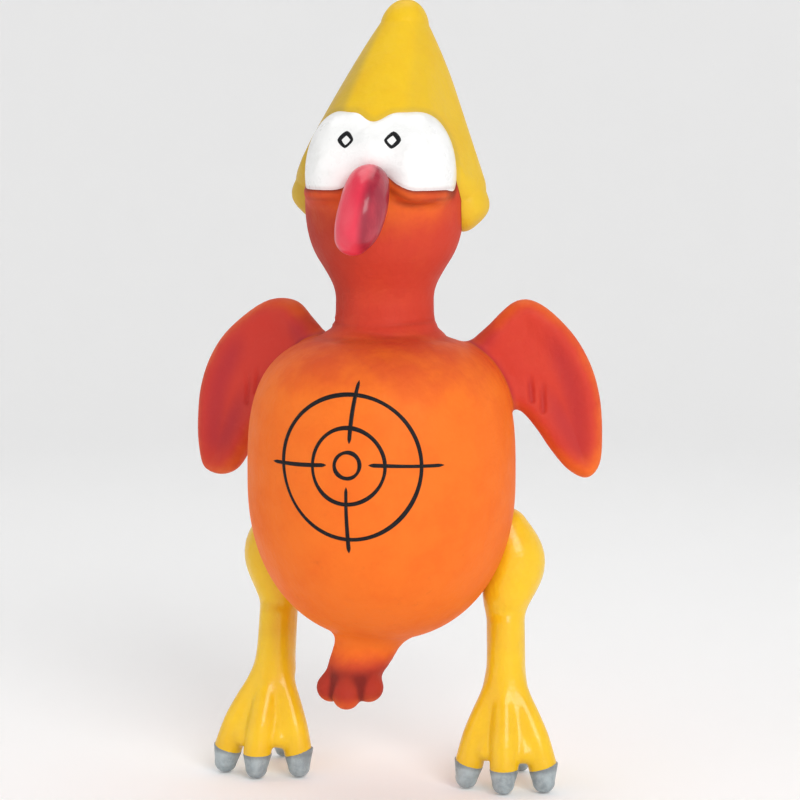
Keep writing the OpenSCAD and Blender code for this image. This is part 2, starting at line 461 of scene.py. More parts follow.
def face_opening(p):
    """What the comb leaves open: the eyes' outline, and the cheeks and beak below it."""
    z = p[:, 2]
    sockets = []
    for eye_x in (SOCKET[0], -SOCKET[0]):
        q = (p[:, [0, 2]] - vec(SOCKET_SHIFT + eye_x, SOCKET[1])) / SOCKET_RADII
        sockets.append((np.linalg.norm(q, axis=1) - 1) * SOCKET_RADII[1])
    front = p[:, 1] + 1.4 - 0.4 * np.clip(177 - z, 0, 12) + 0.3 * np.maximum(z - 182, 0)
    return meet(join(join(*sockets, 2.5), z - SOCKET[1], 1), front, 2)


def lobe_rise(p):
    return RIGHT_LOBE_RISE * ease(2, -16, p[:, 0])


def comb_hem(p):
    """Height of the comb's lower edge, which drops to a point at the front of each ear lobe."""
    drop = 6.5 * ease(30, 21.5, np.abs(p[:, 0])) * ease(20, 9, p[:, 1])
    return COMB_HEM + lobe_rise(p) - drop


def comb(p):
    d = None
    for normal, offset in COMB_PLANES:
        side = p @ normal - offset - 0.8
        d = side if d is None else meet(d, side, 7)
    d = meet(d, 0.8 * (comb_hem(p) - p[:, 2]), 4)
    # the planes run on past the tip, the lobes and the brow, where these round them off
    tip, lobe = vec(*COMB_TIP[:3]), vec(*COMB_LOBE[:3])
    d = meet(d, limb(p, tip, tip - vec(1.5, 8, 60), COMB_TIP[3], 45), 3)
    lowered = folded(p)
    lowered[:, 2] -= lobe_rise(p)
    d = meet(d, limb(lowered, lobe, vec(-5, 14, 216), COMB_LOBE[3] + 1, 62), 3)
    d = meet(d, COMB_FRONT - p[:, 1], 7)
    d = meet(d, -face_opening(p), 2.2)
    return np.maximum(d, -(head_form(p) + 3))


# x, y, z and radius along the beak's body and along the ridge on its front
BEAK_BODY = [(1.5, -17.5, 178.8, 5), (2.1, -23.5, 178, 6.1), (2, -27.6, 173.2, 6.8),
             (0.9, -29.7, 167.6, 6.5), (-0.6, -29.6, 164.2, 5.2)]
BEAK_RIDGE = [(3.6, -24, 180.6, 1.5), (3.8, -30.8, 176.8, 1.6), (3.2, -33.8, 171, 1.6),
              (1.4, -33.8, 165.6, 1.4)]


def beak(p):
    return join(tube(p, BEAK_BODY, 10), tube(p, BEAK_RIDGE, 10), 4)


# ---- legs, drawn for the toy's left side ----

FOOT_X = ANKLE[0] + 1.9  # the foot's middle
FOOT_TOES = [(-11, 1.5), (0.3, -3), (10.8, 1.8)]  # X from there, and Y, of each front claw
SPUR = (0, 22)  # and of the rear one
KNEE_END = KNEE - vec(0, 0, 2)  # where the thigh's and the shank's bars meet
THIGH = [(34.2, 14, 75, 7.2), (36.8, 14, 67, 9.2), (36, 13, 60.5, 8.3), (*KNEE_END, 6)]


def thigh_and_shank(p):
    knob = ellipsoid(p, KNEE + vec(0.6, -2.8, -2), vec(4.8, 3.6, 3.4))
    shank = limb(p, KNEE_END, ANKLE, 5.7, 5.6)
    return join(join(tube(p, THIGH, 7), shank, 3), knob, 2)


# height of a toe's stations, and what part of its way out and ahead it has gone there
TOE_FAN = [(48, 0.04, 0), (36, 0.11, 0.1), (28, 0.3, 0.3), (21, 0.6, 0.6), (15, 0.82, 0.82)]
TOE_R = (2.9, 3.6, 3.8, 3.9, 4.1, 4.2)  # radius of a front toe at each of them and at its end
SPUR_R = (2.5, 3.2, 3.7, 3.7, 3.4, 3)


def toe_path(x, y, tip_z):
    """Points of a toe, which runs down the shank and fans out to its claw."""
    middle = ANKLE[1] - 1.6 * math.copysign(1, ANKLE[1] - y)
    return [(ANKLE[0] + (FOOT_X - ANKLE[0] + x) * out, middle + (y - middle) * ahead, z)
            for z, out, ahead in (*TOE_FAN, (tip_z, 1, 1))]


def foot(p):
    d = None
    for x, y in FOOT_TOES:
        toe = tube(p, [(*row, r) for row, r in zip(toe_path(x, y, 8), TOE_R)], 4)
        d = toe if d is None else join(d, toe, 2.2)
    for sign in (-1, 1):
        web = limb(p, ANKLE + vec(2 * sign, -1, 0), vec(FOOT_X + 5.7 * sign, -0.4, 11.6), 3.4, 2.6)
        d = join(d, web, 2)
    spur = tube(p, [(*row, r) for row, r in zip(toe_path(*SPUR, 6.6), SPUR_R)], 4)
    return join(d, spur, 3)


def leg_skin(p):
    return join(thigh_and_shank(p), foot(p), 2)


def claws(p):
    d = None
    for x, y in [*FOOT_TOES, SPUR]:
        front = y < ANKLE[1]
        big, ahead = (1, -1) if front else (0.74, 1)
        root = vec(FOOT_X + x, y - 0.2 * ahead, 8.4 * big)
        tip = vec(FOOT_X + 1.06 * x, y + 1.1 * ahead, 3.4 * big)
        claw = limb(p, root, tip, 4.6 * big, 3.3 * big)
        edge = p[:, 2] - (CLAW_TOP - 0.7) * big - 0.03 * x * (p[:, 0] - root[0])
        claw = meet(claw, edge, 0.7)
        d = claw if d is None else np.minimum(d, claw)
    return meet(d, -p[:, 2], 0.8)


# ---- meshes from fields ----

BLOCK = 4  # grid steps along the edge of a coarse block


def in_chunks(field, p, size=300_000):
    return np.concatenate([field(p[i:i + size]) for i in range(0, len(p), size)])


def sample(field, low, high, step):
    """Values on a grid, worked out finely only in the blocks that the surface may cross."""
    counts = np.ceil((np.array(high) - low) / (step * BLOCK)).astype(int)
    axes = [low[i] + (np.arange(counts[i]) * BLOCK + (BLOCK - 1) / 2) * step for i in range(3)]
    centres = np.stack(np.meshgrid(*axes, indexing="ij"), -1).reshape(-1, 3)
    values = in_chunks(field, centres).reshape(counts)
    for axis in range(3):
        values = np.repeat(values, BLOCK, axis)
    index = np.argwhere(np.abs(values) < step * BLOCK * 1.6)
    values[tuple(index.T)] = in_chunks(field, low + index * step)
    return values


def unit(rows):
    return rows / np.maximum(np.linalg.norm(rows, axis=1), 1e-9)[:, None]


def face_normals(points, tris):
    """Normals of the triangles, as long as twice their area."""
    a, b, c = (points[tris[:, k]] for k in range(3))
    return np.cross(b - a, c - a)


def slope(field, p, h=0.2):
    grad = np.empty_like(p)
    for axis in range(3):
        e = np.zeros(3)
        e[axis] = h
        grad[:, axis] = (in_chunks(field, p + e) - in_chunks(field, p - e)) / (2 * h)
    return grad


def surface(field, low, high, step):
    """Points and triangles of a field's zero surface, facing outwards."""
    low = np.array(low, float)
    values = sample(field, low, high, step)
    grid = openvdb.FloatGrid(float(values.max()))
    grid.copyFromArray(values)
    points, quads = grid.convertToQuads(isovalue=0)
    points = low + points.astype(float) * step
    for _ in range(2):
        grad = slope(field, points)
        move = in_chunks(field, points) / np.maximum((grad ** 2).sum(1), 0.1)
        points -= np.clip(move, -step / 2, step / 2)[:, None] * grad
    a, b, c, d = quads.T.astype(int)
    diagonals = [np.linalg.norm(points[i] - points[j], axis=1) for i, j in ((a, c), (b, d))]
    short = (diagonals[0] < diagonals[1])[:, None]
    first = np.where(short, np.column_stack([a, b, c]), np.column_stack([a, b, d]))
    second = np.where(short, np.column_stack([a, c, d]), np.column_stack([b, c, d]))
    tris = np.vstack([first, second])
    some = tris[:2000]
    if (face_normals(points, some) * slope(field, points[some].mean(1))).sum() < 0:
        tris = tris[:, ::-1]
    return points, tris


def compact(points, tris):
    used, index = np.unique(tris, return_inverse=True)
    return points[used], index.reshape(-1, 3)


def cut(shell, value):
    """Splits a shell where value(points) is zero; both parts share the new edge points."""
    points, tris = shell
    v = value(points)
    v = np.where(np.abs(v) < 1e-3, 1e-3, v)
    up = v > 0
    count = up[tris].sum(1)
    parts = {True: [tris[count == 3]], False: [tris[count == 0]]}
    edge_points, edge_ids = [], {}

    def crossing(i, j):
        key = (min(i, j), max(i, j))
        if key not in edge_ids:
            t = v[i] / (v[i] - v[j])
            edge_ids[key] = len(points) + len(edge_points)
            edge_points.append(points[i] + t * (points[j] - points[i]))
        return edge_ids[key]

    mixed = (count == 1) | (count == 2)
    for tri, ups in zip(tris[mixed], count[mixed]):
        lone = up[tri] if ups == 1 else ~up[tri]
        k = int(np.argmax(lone))
        i, j, m = int(tri[k]), int(tri[(k + 1) % 3]), int(tri[(k + 2) % 3])
        e, f = crossing(i, j), crossing(i, m)
        side = bool(ups == 1)
        parts[side].append([[i, e, f]])
        parts[not side].append([[e, j, m], [e, m, f]])
    everything = np.vstack([points, edge_points]) if edge_points else points
    return [compact(everything, np.vstack([np.array(t, int).reshape(-1, 3) for t in parts[side]]))
            for side in (True, False)]


def open_loops(tris):
    """The open edges of a shell, as loops of point numbers."""
    edges = {(int(a), int(b)) for t in tris for a, b in ((t[0], t[1]), (t[1], t[2]), (t[2], t[0]))}
    onward = {b: a for a, b in edges if (b, a) not in edges}
    loops = []
    while onward:
        start, at = onward.popitem()
        loop = [start, at]
        while at in onward:
            at = onward.pop(at)
            if at == start:
                break
            loop.append(at)
        loops.append(loop)
    return loops


def capped(shell):
    """The shell with a fan over each open edge, and how many of its triangles are skin."""
    points, tris = shell
    extra_points, extra = [], []
    for loop in open_loops(tris):
        middle = len(points) + len(extra_points)
        extra_points.append(points[loop].mean(0))
        extra += [(a, b, middle) for a, b in zip(loop, loop[1:] + loop[:1])]
    if extra:
        points, tris = np.vstack([points, extra_points]), np.vstack([tris, extra])
    return points, tris, len(tris) - len(extra)


def new_object(name, data):
    obj = bpy.data.objects.new(name, data)
    bpy.context.scene.collection.objects.link(obj)
    return obj


def flipped(shell):
    """The shell mirrored onto the toy's other side."""
    points, tris = shell
    return points * vec(-1, 1, 1), tris[:, ::-1]


def make_piece(name, shell, normal_of, material, marks=None):
    """A Blender object from a shell, with its normals and a value per point for each mark."""
    points, tris, skin = capped(shell)
    mesh = bpy.data.meshes.new(name)
    mesh.from_pydata((points * MM).tolist(), [], tris.tolist())
    for mark, field in {**(marks or {}), "rest": lambda p: p * MM}.items():
        values = np.asarray(field(points), np.float32)
        kind = "FLOAT_VECTOR" if values.ndim == 2 else "FLOAT"
        attribute = mesh.attributes.new(mark, kind, "POINT")
        attribute.data.foreach_set("vector" if values.ndim == 2 else "value", values.ravel())
    corner_normals = unit(normal_of(points))[tris]
    corner_normals[skin:] = unit(face_normals(points, tris[skin:]))[:, None]
    mesh.polygons.foreach_set("use_smooth", np.ones(len(tris), bool))
    mesh.normals_split_custom_set(corner_normals.reshape(-1, 3).tolist())
    mesh.materials.append(material)
    return new_object(name, mesh)


def from_field(field, sign=1, h=0.35):
    """Normals from a field's slope, for the shape itself or, with sign -1, for its mirror image."""
    side = vec(sign, 1, 1)
    return lambda p: slope(field, p * side, h) * side


def blend_mm(piece):
    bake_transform(piece)


# ---- materials ----

class Look:
    """A node material built step by step. Colours are linear RGB, and lengths in metres."""

    def __init__(self, name, roughness=0.5, coat=0.0, coat_roughness=0.1, specular=0.5, subsurface=0.0):
        self.material = bpy.data.materials.new(name)
        self.material.use_nodes = True
        self.tree = self.material.node_tree
        self.shader = self.tree.nodes["Principled BSDF"]
        self.set(self.shader, {"Roughness": roughness, "Specular IOR Level": specular, "Coat Weight": coat,
                               "Coat Roughness": coat_roughness, "Subsurface Weight": subsurface})
        if subsurface:
            self.set(self.shader, {"Subsurface Scale": 0.003, "Subsurface Radius": (1.0, 0.35, 0.15)})

    def set(self, node, values):
        for key, value in values.items():
            if isinstance(value, bpy.types.NodeSocket):
                self.tree.links.new(value, node.inputs[key])
            else:
                node.inputs[key].default_value = value

    def add(self, kind, values=None, **settings):
        node = self.tree.nodes.new(kind)
        for key, value in settings.items():
            setattr(node, key, value)
        self.set(node, values or {})
        return node

    def mark(self, name):
        node = self.add("ShaderNodeAttribute", attribute_name=name)
        return node.outputs["Vector" if name == "rest" else "Fac"]

    def noise(self, size, detail=3.0, rough=0.55, stretch=(1, 1, 1), place=None):
        """Noise from 0 to 1 with features about size metres wide."""
        mapping = self.add("ShaderNodeMapping", {"Vector": place or self.mark("rest"), "Scale": stretch})
        node = self.add("ShaderNodeTexNoise", {"Vector": mapping.outputs[0], "Scale": 1 / size,
                                               "Detail": detail, "Roughness": rough})
        return node.outputs["Fac"]

    def ramp(self, value, low, high, out_low=0.0, out_high=1.0):
        ends = {"From Min": low, "From Max": high, "To Min": out_low, "To Max": out_high}
        node = self.add("ShaderNodeMapRange", {"Value": value, **ends}, interpolation_type="SMOOTHSTEP")
        return node.outputs["Result"]

    def maths(self, operation, a, b):
        return self.add("ShaderNodeMath", {0: a, 1: b}, operation=operation).outputs[0]

    def mix(self, factor, a, b):
        a, b = (end if isinstance(end, bpy.types.NodeSocket) else (*end, 1) for end in (a, b))
        return self.add("ShaderNodeMix", {"Factor": factor, 6: a, 7: b}, data_type="RGBA").outputs[2]

    def finish(self, colour, pattern, low, high, *bumps):
        """Sets the colour, the roughness over a pattern, and bumps: pairs of a height and its depth."""
        values = {"Base Color": colour, "Roughness": self.ramp(pattern, 0.3, 0.7, low, high)}
        for height, depth in bumps:
            node = self.add("ShaderNodeBump", {"Height": height, "Distance": depth, "Strength": 1.0})
            if "Normal" in values:
                self.set(node, {"Normal": values["Normal"]})
            values["Normal"] = node.outputs[0]
        self.set(self.shader, values)
        return self.material


ORANGE = (0.89, 0.180, 0.018)
DEEP_ORANGE = (0.82, 0.125, 0.014)
RED = (0.60, 0.052, 0.026)
WING_RED = (0.63, 0.052, 0.030)
DARK_RED = (0.16, 0.014, 0.012)
PLUM = (0.36, 0.026, 0.045)
YELLOW = (0.90, 0.56, 0.010)
HOOD_YELLOW = (0.84, 0.53, 0.014)
TAN = (0.55, 0.37, 0.055)
AMBER = (0.76, 0.40, 0.010)
WHITE = (0.91, 0.91, 0.90)
INK = (0.010, 0.010, 0.012)
CLAW = (0.40, 0.46, 0.48)


def latex(name, red, dark):
    """Matte painted latex: orange airbrushed to red by the blush mark, which in places also stands for shade,
    and darkened by the shade mark: painted shade and dark lines.
    """
    look = Look(name, roughness=0.6, specular=0.14, subsurface=0.05)
    cloud = look.noise(0.011, 4, 0.6)
    fine = look.noise(0.0011, 3, 0.6)
    speckle = look.noise(0.0034, 5, 0.7)
    blush = look.maths("ADD", look.mark("blush"), look.ramp(cloud, 0.3, 0.7, -0.10, 0.10))
    body = look.mix(look.ramp(cloud, 0.35, 0.7, 0, 0.35), ORANGE, DEEP_ORANGE)
    body = look.mix(look.ramp(blush, 0.02, 0.98), body, red)
    body = look.mix(look.ramp(speckle, 0.60, 0.78, 0, 0.12), body, dark)
    body = look.mix(look.maths("MULTIPLY", look.mark("shade"), 0.85), body, dark)
    return look.finish(body, cloud, 0.5, 0.62, (cloud, 0.0007), (speckle, 0.00012), (fine, 0.00005))


def painted_yellow(name, main, dull, gloss):
    """Yellow paint over latex, turned towards the dull colour by the shade mark, which is painted shade, and
    in worn patches.
    """
    look = Look(name, roughness=0.4, coat=0.45 * gloss, coat_roughness=0.16, specular=0.2, subsurface=0.04)
    cloud = look.noise(0.009, 4, 0.6)
    fine = look.noise(0.0014, 3, 0.6)
    wear = look.noise(0.004, 6, 0.75)
    body = look.mix(look.ramp(cloud, 0.35, 0.75, 0, 0.3), main, AMBER)
    body = look.mix(look.mark("shade"), body, dull)
    body = look.mix(look.ramp(wear, 0.66, 0.8, 0, 0.25), body, dull)
    return look.finish(body, cloud, 0.5 - 0.16 * gloss, 0.62 - 0.18 * gloss, (cloud, 0.0008), (fine, 0.00005))


def glossy_beak():
    look = Look("beak_paint", roughness=0.3, coat=0.35, coat_roughness=0.08, specular=0.35)
    cloud = look.noise(0.005, 4, 0.6, (1, 1, 0.4))
    streak = look.noise(0.0025, 3, 0.6, (1, 1, 0.15))
    body = look.mix(look.mark("blush"), (0.78, 0.035, 0.075), (0.31, 0.010, 0.032))
    body = look.mix(look.ramp(cloud, 0.4, 0.75, 0, 0.35), body, (0.80, 0.07, 0.10))
    # on the beak the shade mark lightens: a painted highlight along its edge
    body = look.mix(look.mark("shade"), body, (0.70, 0.30, 0.32))
    return look.finish(body, streak, 0.28, 0.4, (streak, 0.00012), (cloud, 0.0002))


def eye_white():
    look = Look("eye_white_paint", roughness=0.3, coat=0.3, coat_roughness=0.15)
    cloud = look.noise(0.006, 4, 0.6)
    fine = look.noise(0.0012, 3, 0.6)
    body = look.mix(look.ramp(cloud, 0.45, 0.8, 0, 0.5), WHITE, (0.72, 0.72, 0.70))
    body = look.mix(look.mark("shade"), body, (0.42, 0.10, 0.06))
    return look.finish(body, cloud, 0.26, 0.36, (cloud, 0.0004), (fine, 0.00004))


def claw_grey():
    look = Look("claw_paint", roughness=0.42, coat=0.15, coat_roughness=0.3)
    cloud = look.noise(0.004, 5, 0.65)
    scratch = look.noise(0.0012, 4, 0.7, (1, 1, 0.3))
    body = look.mix(look.ramp(cloud, 0.35, 0.7), CLAW, (0.25, 0.29, 0.31))
    body = look.mix(look.ramp(scratch, 0.6, 0.75, 0, 0.5), body, (0.5, 0.54, 0.55))
    body = look.mix(look.mark("shade"), body, (0.10, 0.11, 0.11))
    return look.finish(body, cloud, 0.36, 0.55, (cloud, 0.0005), (scratch, 0.0001))


def ink():
    look = Look("black_paint_line", roughness=0.5, specular=0.15)
    patchy = look.noise(0.0018, 5, 0.7)
    body = look.mix(look.ramp(patchy, 0.55, 0.8, 0, 0.6), INK, (0.05, 0.035, 0.03))
    return look.finish(body, patchy, 0.42, 0.6, (patchy, 0.00008))


def plain_part(name, colour, other, roughness, grain, metallic=0.0, depth=0.00005):
    """A moulded or cut inner part: two close tones, with a fine grain."""
    look = Look(name, roughness=roughness)
    look.set(look.shader, {"Metallic": metallic})
    place = look.add("ShaderNodeTexCoord").outputs["Object"]
    tone = look.noise(grain * 8, 4, 0.6, place=place)
    fine = look.noise(grain, 3, 0.6, place=place)
    body = look.mix(look.ramp(tone, 0.35, 0.7), colour, other)
    return look.finish(body, fine, roughness - 0.06, roughness + 0.06, (fine, depth))


LATEX = latex("orange_latex_skin", RED, DARK_RED)
WING_LATEX = latex("wing_latex_skin", WING_RED, PLUM)
HOOD_PAINT = painted_yellow("hood_paint", HOOD_YELLOW, TAN, 0.2)
LEG_PAINT = painted_yellow("leg_paint", YELLOW, AMBER, 1.0)
BEAK_PAINT = glossy_beak()
EYE_PAINT = eye_white()
CLAW_PAINT = claw_grey()
INK_PAINT = ink()


# ---- airbrushing and painted shade: values from 0 to 1 over the skin ----

def wing_blush(p):
    _, _, edge = wing_frame(p)
    inner = 0.5 + 0.5 * ease(0, 4.5, -edge)
    # the tip turns orange; far less on the right wing, which stays redder as painted shade
    tip = 1 - np.where(p[:, 0] > 0, 0.55, 0.12) * ease(104, 92, p[:, 2])
    return inner * tip


def body_blush(p):
    x, y, z = p.T
    shoulder = 0.52 * ease(111, 133, z)
    neck = 0.42 * ease(130, 138, z)
    # less orange under the right eye: painted shade on the head's right side
    under_eye = (0.52 - 0.2 * ease(0, -14, x)) * ease(160, 175, z) * ease(6, -12, y)
    side = 0.14 * ease(14, 23, np.abs(x)) * (z > 150)
    tail_end = 0.95 * ease(46, 33, z) - 0.45 * ease(30, 25, z)
    edge = 0.22 * ease(-8, 20, y) * ease(44, 60, z)
    base = np.maximum.reduce([shoulder + neck - under_eye + side, tail_end, edge])
    by_wing = 0.55 * ease(32, 40, np.abs(x)) + base * 0.5
    return np.where(wings(p) < 1.5, np.maximum(base, by_wing), base)


def skin_shade(p):
    """Painted shade in the cheek crease, neck rings, armpits and nub valleys, and on the right cheek; the
    nubs darker; dark lines at lids and comb edge.
    """
    on_head = ease(160, 164, p[:, 2])
    lids = bump(eyes(p), 0.75) * on_head * ease(4.5, 2.5, lid_height(p) - p[:, 2])
    comb_edge = 0.8 * bump(comb(p), 0.9) * on_head
    folds = 0.4 * cheek_crease(p) + 0.22 * neck_wrinkles(p)
    q = folded(p)
    armpit = 0.4 * bump(torso(p) - wings(p), 2.2) * (q[:, 0] > 20) * (p[:, 2] > 108) * (p[:, 2] < 142)
    valleys = bump(sorted_gap(nub_shapes(p)), 2) * ease(38, 33, p[:, 2])
    tail_folds = 0.75 * valleys + 0.45 * ease(41, 34, p[:, 2]) * ease(25, 29, p[:, 2])
    under_lids = ease(128, 150, p[:, 2]) * ease(176, 168, p[:, 2])
    # painted shade over the right side of the cheek and the neck
    right_cheek_shade = 0.42 * ease(-2, -17, p[:, 0]) * under_lids
    return np.clip(np.maximum.reduce([lids, comb_edge, folds, armpit, tail_folds]) + right_cheek_shade, 0, 1)


def sorted_gap(distances):
    """How close the two least distances are: zero in the fold between two shapes."""
    ranked = np.sort(distances, axis=0)
    return ranked[1] - ranked[0]


def wing_shade(p):
    # painted shade in the feather grooves, in the notch between shoulder and wing, where the wing meets the
    # belly and over all of the right wing; the band is the wing's crimson paint
    q, front, edge = wing_frame(p)
    grooves = 0.4 * wing_grooves(q) * (front > 0)
    band = 0.5 * bump(edge + 7.5, 5.5) * ease(44, 52, q[:, 0]) * ease(92, 100, p[:, 2])
    band += 0.2 * (p[:, 0] < 0)
    notch = 0.6 * bump(np.linalg.norm(q - vec(26 / LEAN_COS, 134), axis=1), 8)
    return np.clip(np.maximum.reduce([grooves, band, notch]) + 0.5 * bump(torso(p) - wings(p), 2.2), 0, 1)


def hood_shade(p):
    """Painted shade: tan on the comb's side faces, most at the front of its right side, and a darker line
    where it meets the brow.
    """
    sides = [p @ n - c for n, c in COMB_PLANES]
    front_side = sides[0] - np.maximum(sides[1], sides[2])
    on_side = ease(0.5, -3.5, front_side)
    tan = 0.22 + 0.5 * ease(-4, 6, -p[:, 0]) * ease(16, 4, p[:, 1])
    return np.clip(on_side * tan + 0.4 * bump(eyes(p) - 0.2, 1.4), 0, 1)


def leg_shade(p):
    q = folded(p)
    # painted shade in the crease where the leg meets the belly; lower down the feet turn amber towards the
    # claws
    crease = 0.7 * bump(torso(q), 2.2)
    claw_edge = 0.35 * ease(15, 8, p[:, 2])
    return np.clip(np.maximum(crease, claw_edge), 0, 1)


# ---- skin pieces ----

BODY_SHELL = surface(body_skin, (-66, -46, 20), (66, 46, 206), 0.65)

TAIL_CUT = 43.5  # height where the tail's skin ends
HEAD_CUT = TURN[2] - 0.5  # height where the head's skin starts
NECK_REACH = 18.5  # the neck's skin starts on a ball of this radius round its bend


def wing_side(p):
    """Positive where the wing is nearer than the belly, outside the neck and above the armpit."""
    q = folded(p)
    gap = torso(p) - wings(p)
    return np.minimum.reduce([gap, q[:, 0] - 18, 150 - p[:, 2], p[:, 2] - 88])


upper, tail_part = cut(BODY_SHELL, lambda p: p[:, 2] - TAIL_CUT)
head_part, lower = cut(upper, lambda p: p[:, 2] - HEAD_CUT)
wing_part, lower = cut(lower, wing_side)
left_part, right_part = cut(wing_part, lambda p: p[:, 0])
neck_part, torso_part = cut(lower, lambda p: NECK_REACH - np.linalg.norm(p - NECK, axis=1))

SKIN_NORMALS = from_field(body_skin)
SKIN_MARKS = {"blush": body_blush, "shade": skin_shade}

torso_piece = make_piece("torso_latex", torso_part, SKIN_NORMALS, LATEX, SKIN_MARKS)
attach(torso_piece, "torso")
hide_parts("torso_skin")

# what bends: its body, its shell, the body it grows from, the start and end of the bend, and its slot
SKIN_BENDS = [("neck", neck_part, "torso", (0, AXIS_Y, 134.6), (0, AXIS_Y, HEAD_CUT), "red_latex"),
              ("head", head_part, "neck", (0, AXIS_Y, HEAD_CUT), (0, AXIS_Y, 160), "red_latex"),
              ("tail", tail_part, "torso", (*TAIL[:2], TAIL_CUT), (*TAIL[:2], 33), "tail_latex")]
for body, part, root_body, start, end, slot in SKIN_BENDS:
    skin_piece = make_piece(f"{body}_latex", part, SKIN_NORMALS, LATEX, SKIN_MARKS)
    blend_mm(skin_piece)
    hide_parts(f"{body}_skin")

for side, part, sign in (("left", left_part, 1), ("right", right_part, -1)):
    marks = {"blush": wing_blush, "shade": wing_shade}
    wing_piece = make_piece(f"{side}_wing_latex", part, SKIN_NORMALS, WING_LATEX, marks)
    blend_mm(wing_piece)
    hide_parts(f"{side}_wing")

# ---- comb, eyes and beak ----

hood_shell = surface(comb, (-34, -22, 160), (34, 36, 236), 0.6)
hood_marks = {"shade": hood_shade}
hood_piece = make_piece("comb_and_ear_lobes", hood_shell, from_field(comb), HOOD_PAINT, hood_marks)
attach(hood_piece, "head")
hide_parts("comb_hood")


def eyes_out(p):
    """The part of the eyes that stands out of the head, down to just inside the roll under them."""
    lid = lid_height(p) - 2 - p[:, 2]
    return np.maximum(np.maximum(eyes(p), -(head_form(p) + 4)), lid)


eye_shell = surface(eyes_out, (-26, -22, 170), (26, 12, 204), 0.5)
eye_marks = {"shade": lambda p: 0.3 * bump(p[:, 2] - lid_height(p) + 0.4, 0.8)}
eye_piece = make_piece("eye_whites", eye_shell, from_field(eyes_out), EYE_PAINT, eye_marks)
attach(eye_piece, "head")
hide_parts("eye_patch")

# the blush mark makes the beak dark crimson on its left of the ridge and pink-red on its right; the shade
# mark is a painted highlight, a pale rim on the lower part of its right edge
beak_marks = {"blush": lambda p: ease(1.4, 4.4, p[:, 0] - 0.1 * (p[:, 2] - 168)),
              "shade": lambda p: 0.45 * bump(p[:, 0] + 6, 1.2) * ease(180, 174, p[:, 2])}
beak_shell = surface(beak, (-12, -42, 150), (12, -8, 192), 0.5)
beak_piece = make_piece("beak_latex", beak_shell, from_field(beak), BEAK_PAINT, beak_marks)
blend_mm(beak_piece)
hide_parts("beak")

# ---- legs ----

LEG_SHELL = surface(leg_skin, (18, -14, 0), (56, 32, 92), 0.5)
CLAW_SHELL = surface(claws, (18, -14, -3), (58, 32, 14), 0.45)
BEND = vec(0, 0, 6)  # the skin bends this far above and below a knee or an ankle

thigh_part, rest = cut(LEG_SHELL, lambda p: p[:, 2] - (KNEE + BEND)[2])
shank_part, foot_part = cut(rest, lambda p: p[:, 2] - (ANKLE + BEND)[2])
# each part of a leg, and where the bend of its skin starts and ends
LEG_PARTS = [("thigh", thigh_part, HIP - vec(7, 0, 0), HIP), ("shank", shank_part, KNEE + BEND, KNEE - BEND),
             ("foot", foot_part, ANKLE + BEND, ANKLE - BEND)]


def claw_shade(p):
    """Painted shade where the claw comes out of the toe, and on the ground."""
    return 0.6 * bump(leg_skin(folded(p)), 0.5) + 0.5 * ease(1.2, 0.2, p[:, 2])


for side, sign in (("left", 1), ("right", -1)):
    def on_side(shell):
        return shell if sign > 0 else flipped(shell)

    def at(point):
        return point * vec(sign, 1, 1)

    normals = from_field(leg_skin, sign, 0.3)
    for part, shell, start, end in LEG_PARTS:
        node = f"{side}_{part}"
        leg_piece = make_piece(f"{node}_latex", on_side(shell), normals, LEG_PAINT, {"shade": leg_shade})
        blend_mm(leg_piece)
        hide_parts(node)

    normals = from_field(claws, sign, 0.3)
    claw_marks = {"shade": claw_shade}
    claw_piece = make_piece(f"{side}_claw_set", on_side(CLAW_SHELL), normals, CLAW_PAINT, claw_marks)
    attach(claw_piece, f"{side}_foot")
    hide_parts(f"{side}_claws")


# ---- painted lines: the target and the pupils ----

def on_front(field, xz, outside, inside):
    """Surface points in front of the given X and Z, found between two depths."""
    low, high = np.full(len(xz), float(outside)), np.full(len(xz), float(inside))
    for _ in range(30):
        y = (low + high) / 2
        out = field(np.column_stack([xz[:, 0], y, xz[:, 1]])) > 0
        low, high = np.where(out, y, low), np.where(out, high, y)
    return np.column_stack([xz[:, 0], (low + high) / 2, xz[:, 1]])


# section of a line of paint: places across its half width, and their height over the surface
BEAD = [(-1, -0.12), (-0.82, 0.1), (-0.4, 0.2), (0, 0.23), (0.4, 0.2), (0.82, 0.1), (1, -0.12)]


def painted_line(path, widths, closed, field, outside, inside):
    """A low bead of paint along a path of X and Z that lies on a surface."""
    ahead = np.roll(path, -1, 0) - np.roll(path, 1, 0)
    if not closed:
        ahead[0], ahead[-1] = path[1] - path[0], path[-1] - path[-2]
    side = unit(np.column_stack([-ahead[:, 1], ahead[:, 0]]))
    rows = []
    for across, height in BEAD:
        points = on_front(field, path + side * (across * widths / 2)[:, None], outside, inside)
        rows.append(points + unit(slope(field, points)) * (height * np.minimum(widths, 1))[:, None])
    points = np.stack(rows, 1).reshape(-1, 3)
    wide, count = len(BEAD), len(path)
    tris = []
    for i in range(count if closed else count - 1):
        j = (i + 1) % count
        for k in range(wide):
            m = (k + 1) % wide
            a, b, c, d = i * wide + k, i * wide + m, j * wide + m, j * wide + k
            tris += [(a, b, c), (a, c, d)]
    tris = np.array(tris)
    if face_normals(points, tris[wide - 1:wide])[0, 1] > 0:
        tris = tris[:, ::-1]
    return points, tris


def merged(shells):
    points, tris, count = [], [], 0
    for p, t in shells:
        points.append(p)
        tris.append(t + count)
        count += len(p)
    return np.vstack(points), np.vstack(tris)


def smooth_normals(shell):
    """Normals of a mesh with no field: the mean of the faces round each point."""
    def normal_of(points):
        total = np.zeros_like(points)
        for k in range(3):
            np.add.at(total, shell[1][:, k], face_normals(*shell))
        return total
    return normal_of


